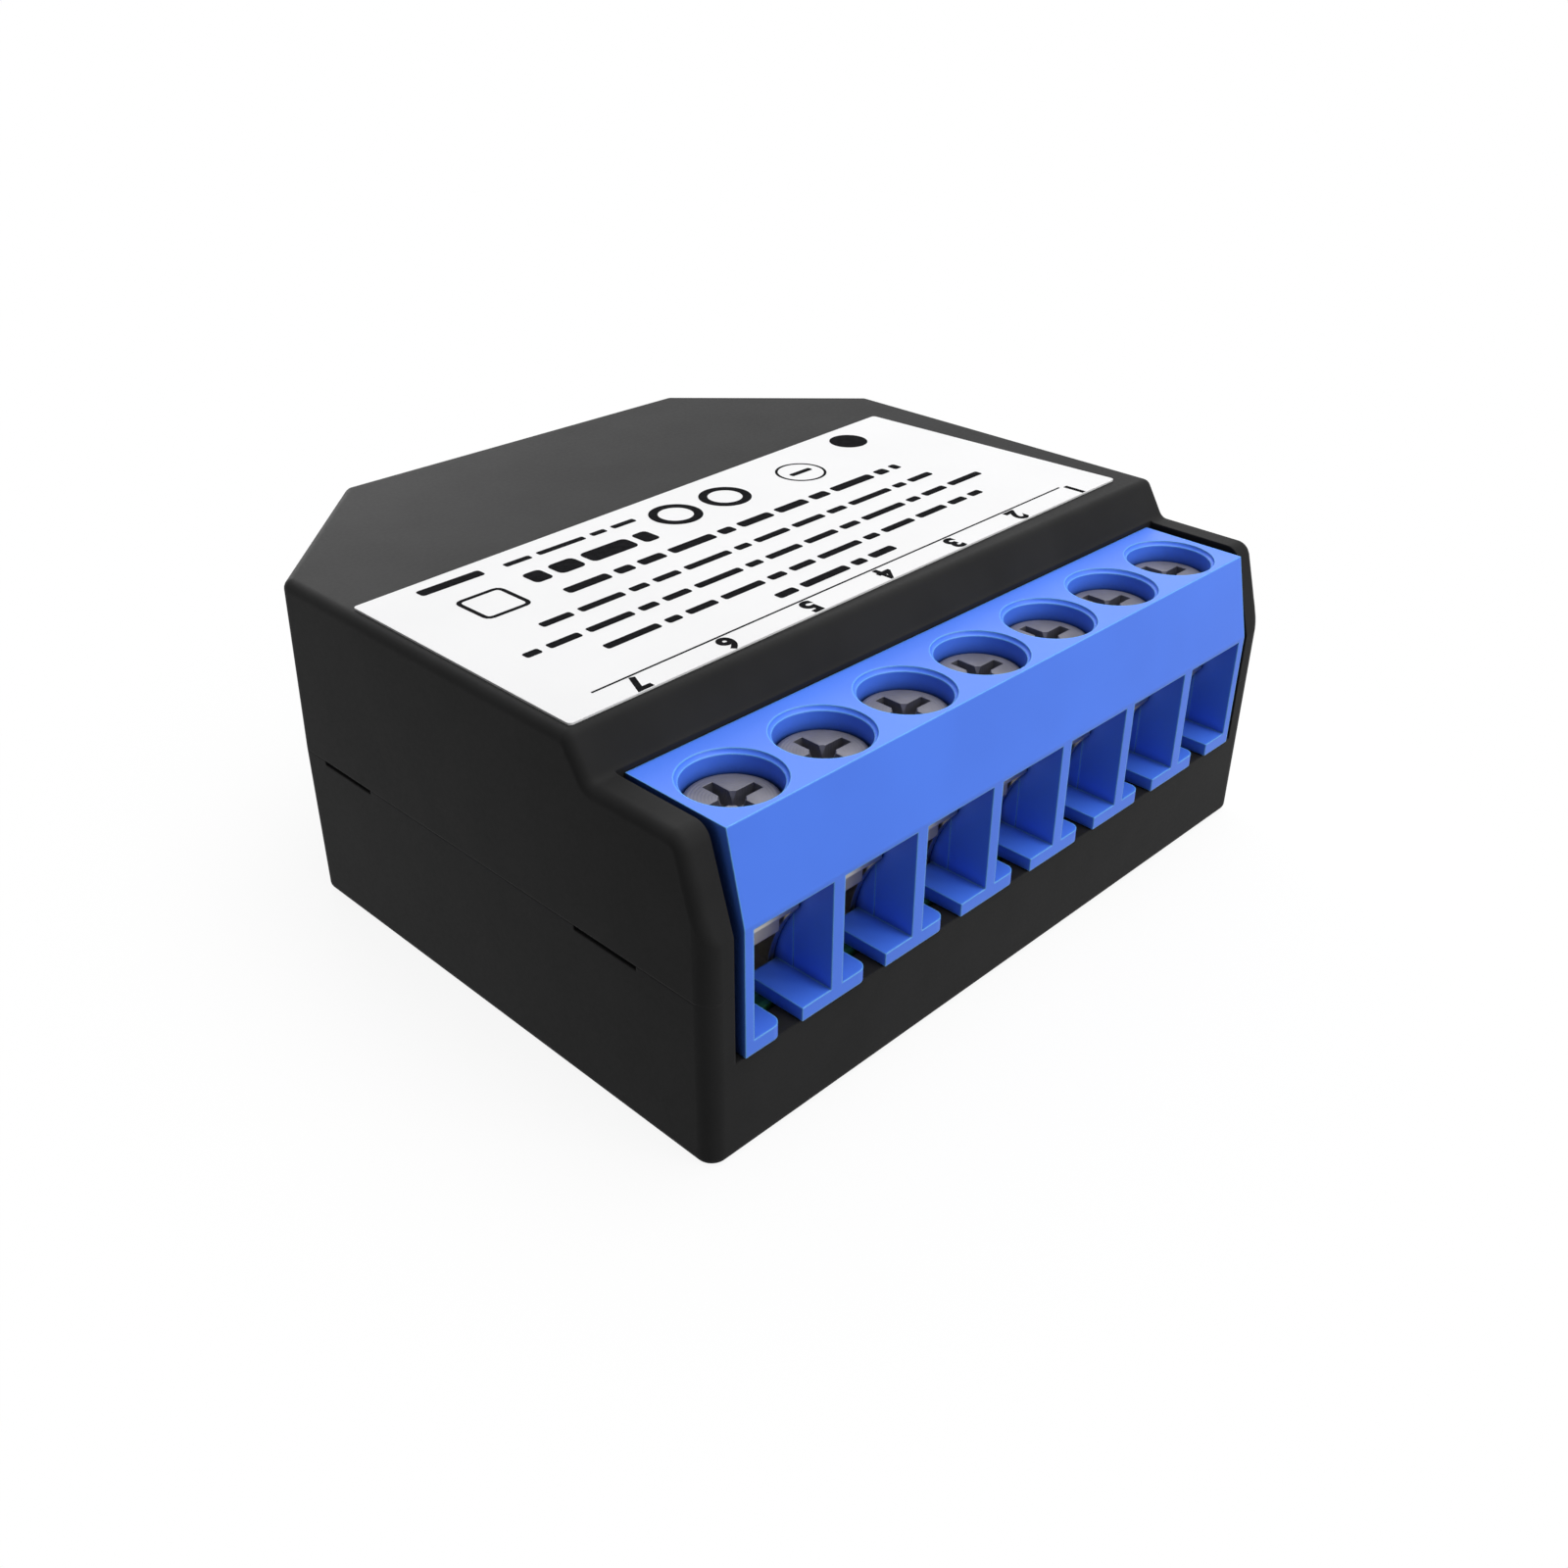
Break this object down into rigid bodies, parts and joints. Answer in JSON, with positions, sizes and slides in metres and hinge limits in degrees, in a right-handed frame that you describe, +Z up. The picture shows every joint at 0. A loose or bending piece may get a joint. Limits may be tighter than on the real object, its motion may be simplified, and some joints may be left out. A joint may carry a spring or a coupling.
{
  "type": "in-wall smart relay module",
  "caption": "Flat black in-wall relay module with chamfered rear corners, a white label and a blue screw terminal row along its front.",
  "frame": {"origin": "centre of the overall footprint, on the surface that the module rests on", "axes": "+X along the terminal row, -Y towards the terminals, +Z up towards the label"},
  "size_m": [0.039, 0.036, 0.017],
  "materials": {
    "shell": "fine matte black moulding",
    "label": "white polyester label",
    "terminal": "bright blue polyamide moulding",
    "screw_steel": "zinc plated steel",
    "cage_steel": "nickel plated steel",
    "bar_metal": "tinned brass",
    "board": "green solder mask on glass laminate",
    "relay_case": "black relay case",
    "relay_base": "black moulded base",
    "iron": "soft iron, plated",
    "bobbin": "natural glass filled plastic",
    "copper": "enamelled copper",
    "contact": "copper alloy with silver contacts",
    "pin_metal": "tinned pins",
    "ferrite": "black ferrite",
    "capacitor_can": "aluminium can in a dark sleeve",
    "resistor": "green coated body",
    "inductor": "shrink sleeved ferrite drum",
    "varistor": "blue epoxy coating",
    "chip": "moulded epoxy",
    "can_metal": "metal can",
    "led": "clear lamp body",
    "switch_case": "moulded switch body",
    "button": "moulded button",
    "socket": "moulded socket"
  },
  "bodies": {
    "housing": {"lower_shell": "shell", "upper_shell": "shell", "label": "label", "terminal_block": "terminal", "conductor_bars": "bar_metal", "power_board": "board", "logic_board": "board", "board_link_pins": "pin_metal", "transformer_core": "ferrite", "transformer_former": "bobbin", "transformer_winding": "copper", "input_capacitor": "capacitor_can", "output_capacitors": "capacitor_can", "fuse_resistor": "resistor", "line_inductor": "inductor", "varistor": "varistor", "bridge_rectifier": "chip", "converter_chip": "chip", "output_diode": "chip", "current_shunts": "can_metal", "radio_chip": "chip", "flash_chip": "chip", "crystal": "can_metal", "antenna": "copper", "status_led": "led", "reset_switch": "switch_case", "programming_socket": "socket", "relay_1_base": "relay_base", "relay_1_cover": "relay_case", "relay_1_yoke": "iron", "relay_1_bobbin": "bobbin", "relay_1_winding": "copper", "relay_1_contact": "contact", "relay_1_coil_pins": "pin_metal", "relay_2_base": "relay_base", "relay_2_cover": "relay_case", "relay_2_yoke": "iron", "relay_2_bobbin": "bobbin", "relay_2_winding": "copper", "relay_2_contact": "contact", "relay_2_coil_pins": "pin_metal"},
    "screw_1": {"terminal_screw_1": "screw_steel"},
    "cage_1": {"clamp_cage_1": "cage_steel"},
    "screw_2": {"terminal_screw_2": "screw_steel"},
    "cage_2": {"clamp_cage_2": "cage_steel"},
    "screw_3": {"terminal_screw_3": "screw_steel"},
    "cage_3": {"clamp_cage_3": "cage_steel"},
    "screw_4": {"terminal_screw_4": "screw_steel"},
    "cage_4": {"clamp_cage_4": "cage_steel"},
    "screw_5": {"terminal_screw_5": "screw_steel"},
    "cage_5": {"clamp_cage_5": "cage_steel"},
    "screw_6": {"terminal_screw_6": "screw_steel"},
    "cage_6": {"clamp_cage_6": "cage_steel"},
    "screw_7": {"terminal_screw_7": "screw_steel"},
    "cage_7": {"clamp_cage_7": "cage_steel"},
    "reset_plunger": {"reset_button": "button"},
    "armature_1": {"relay_1_armature": "iron"},
    "armature_2": {"relay_2_armature": "iron"}
  },
  "joints": [
    {"name": "screw_1_turn", "type": "hinge", "parent": "housing", "child": "screw_1", "pos_m": [-0.015, -0.01464, 0.013], "axis": [0, 0, -1], "range_deg": [0, 1440]},
    {"name": "cage_1_lift", "type": "slide", "parent": "housing", "child": "cage_1", "axis": [0, 0, 1], "range_m": [0, 0.0018]},
    {"name": "screw_2_turn", "type": "hinge", "parent": "housing", "child": "screw_2", "pos_m": [-0.01, -0.01464, 0.013], "axis": [0, 0, -1], "range_deg": [0, 1440]},
    {"name": "cage_2_lift", "type": "slide", "parent": "housing", "child": "cage_2", "axis": [0, 0, 1], "range_m": [0, 0.0018]},
    {"name": "screw_3_turn", "type": "hinge", "parent": "housing", "child": "screw_3", "pos_m": [-0.005, -0.01464, 0.013], "axis": [0, 0, -1], "range_deg": [0, 1440]},
    {"name": "cage_3_lift", "type": "slide", "parent": "housing", "child": "cage_3", "axis": [0, 0, 1], "range_m": [0, 0.0018]},
    {"name": "screw_4_turn", "type": "hinge", "parent": "housing", "child": "screw_4", "pos_m": [0, -0.01464, 0.013], "axis": [0, 0, -1], "range_deg": [0, 1440]},
    {"name": "cage_4_lift", "type": "slide", "parent": "housing", "child": "cage_4", "axis": [0, 0, 1], "range_m": [0, 0.0018]},
    {"name": "screw_5_turn", "type": "hinge", "parent": "housing", "child": "screw_5", "pos_m": [0.005, -0.01464, 0.013], "axis": [0, 0, -1], "range_deg": [0, 1440]},
    {"name": "cage_5_lift", "type": "slide", "parent": "housing", "child": "cage_5", "axis": [0, 0, 1], "range_m": [0, 0.0018]},
    {"name": "screw_6_turn", "type": "hinge", "parent": "housing", "child": "screw_6", "pos_m": [0.01, -0.01464, 0.013], "axis": [0, 0, -1], "range_deg": [0, 1440]},
    {"name": "cage_6_lift", "type": "slide", "parent": "housing", "child": "cage_6", "axis": [0, 0, 1], "range_m": [0, 0.0018]},
    {"name": "screw_7_turn", "type": "hinge", "parent": "housing", "child": "screw_7", "pos_m": [0.015, -0.01464, 0.013], "axis": [0, 0, -1], "range_deg": [0, 1440]},
    {"name": "cage_7_lift", "type": "slide", "parent": "housing", "child": "cage_7", "axis": [0, 0, 1], "range_m": [0, 0.0018]},
    {"name": "reset_press", "type": "slide", "parent": "housing", "child": "reset_plunger", "axis": [0, -1, 0], "range_m": [0, 0.0003], "stiffness_N_per_m": 2000},
    {"name": "armature_1_rock", "type": "hinge", "parent": "housing", "child": "armature_1", "pos_m": [-0.0049, 0.00177, 0.0068], "axis": [1, 0, 0], "range_deg": [0, 2.3], "stiffness_Nm_per_rad": 0.02},
    {"name": "armature_2_rock", "type": "hinge", "parent": "housing", "child": "armature_2", "pos_m": [0.0049, 0.00177, 0.0068], "axis": [1, 0, 0], "range_deg": [0, 2.3], "stiffness_Nm_per_rad": 0.02}
  ],
  "couplings": [
    {"joint": "screw_1_turn", "follows": "cage_1_lift", "rad_per_m": 13963},
    {"joint": "screw_2_turn", "follows": "cage_2_lift", "rad_per_m": 13963},
    {"joint": "screw_3_turn", "follows": "cage_3_lift", "rad_per_m": 13963},
    {"joint": "screw_4_turn", "follows": "cage_4_lift", "rad_per_m": 13963},
    {"joint": "screw_5_turn", "follows": "cage_5_lift", "rad_per_m": 13963},
    {"joint": "screw_6_turn", "follows": "cage_6_lift", "rad_per_m": 13963},
    {"joint": "screw_7_turn", "follows": "cage_7_lift", "rad_per_m": 13963}
  ]
}
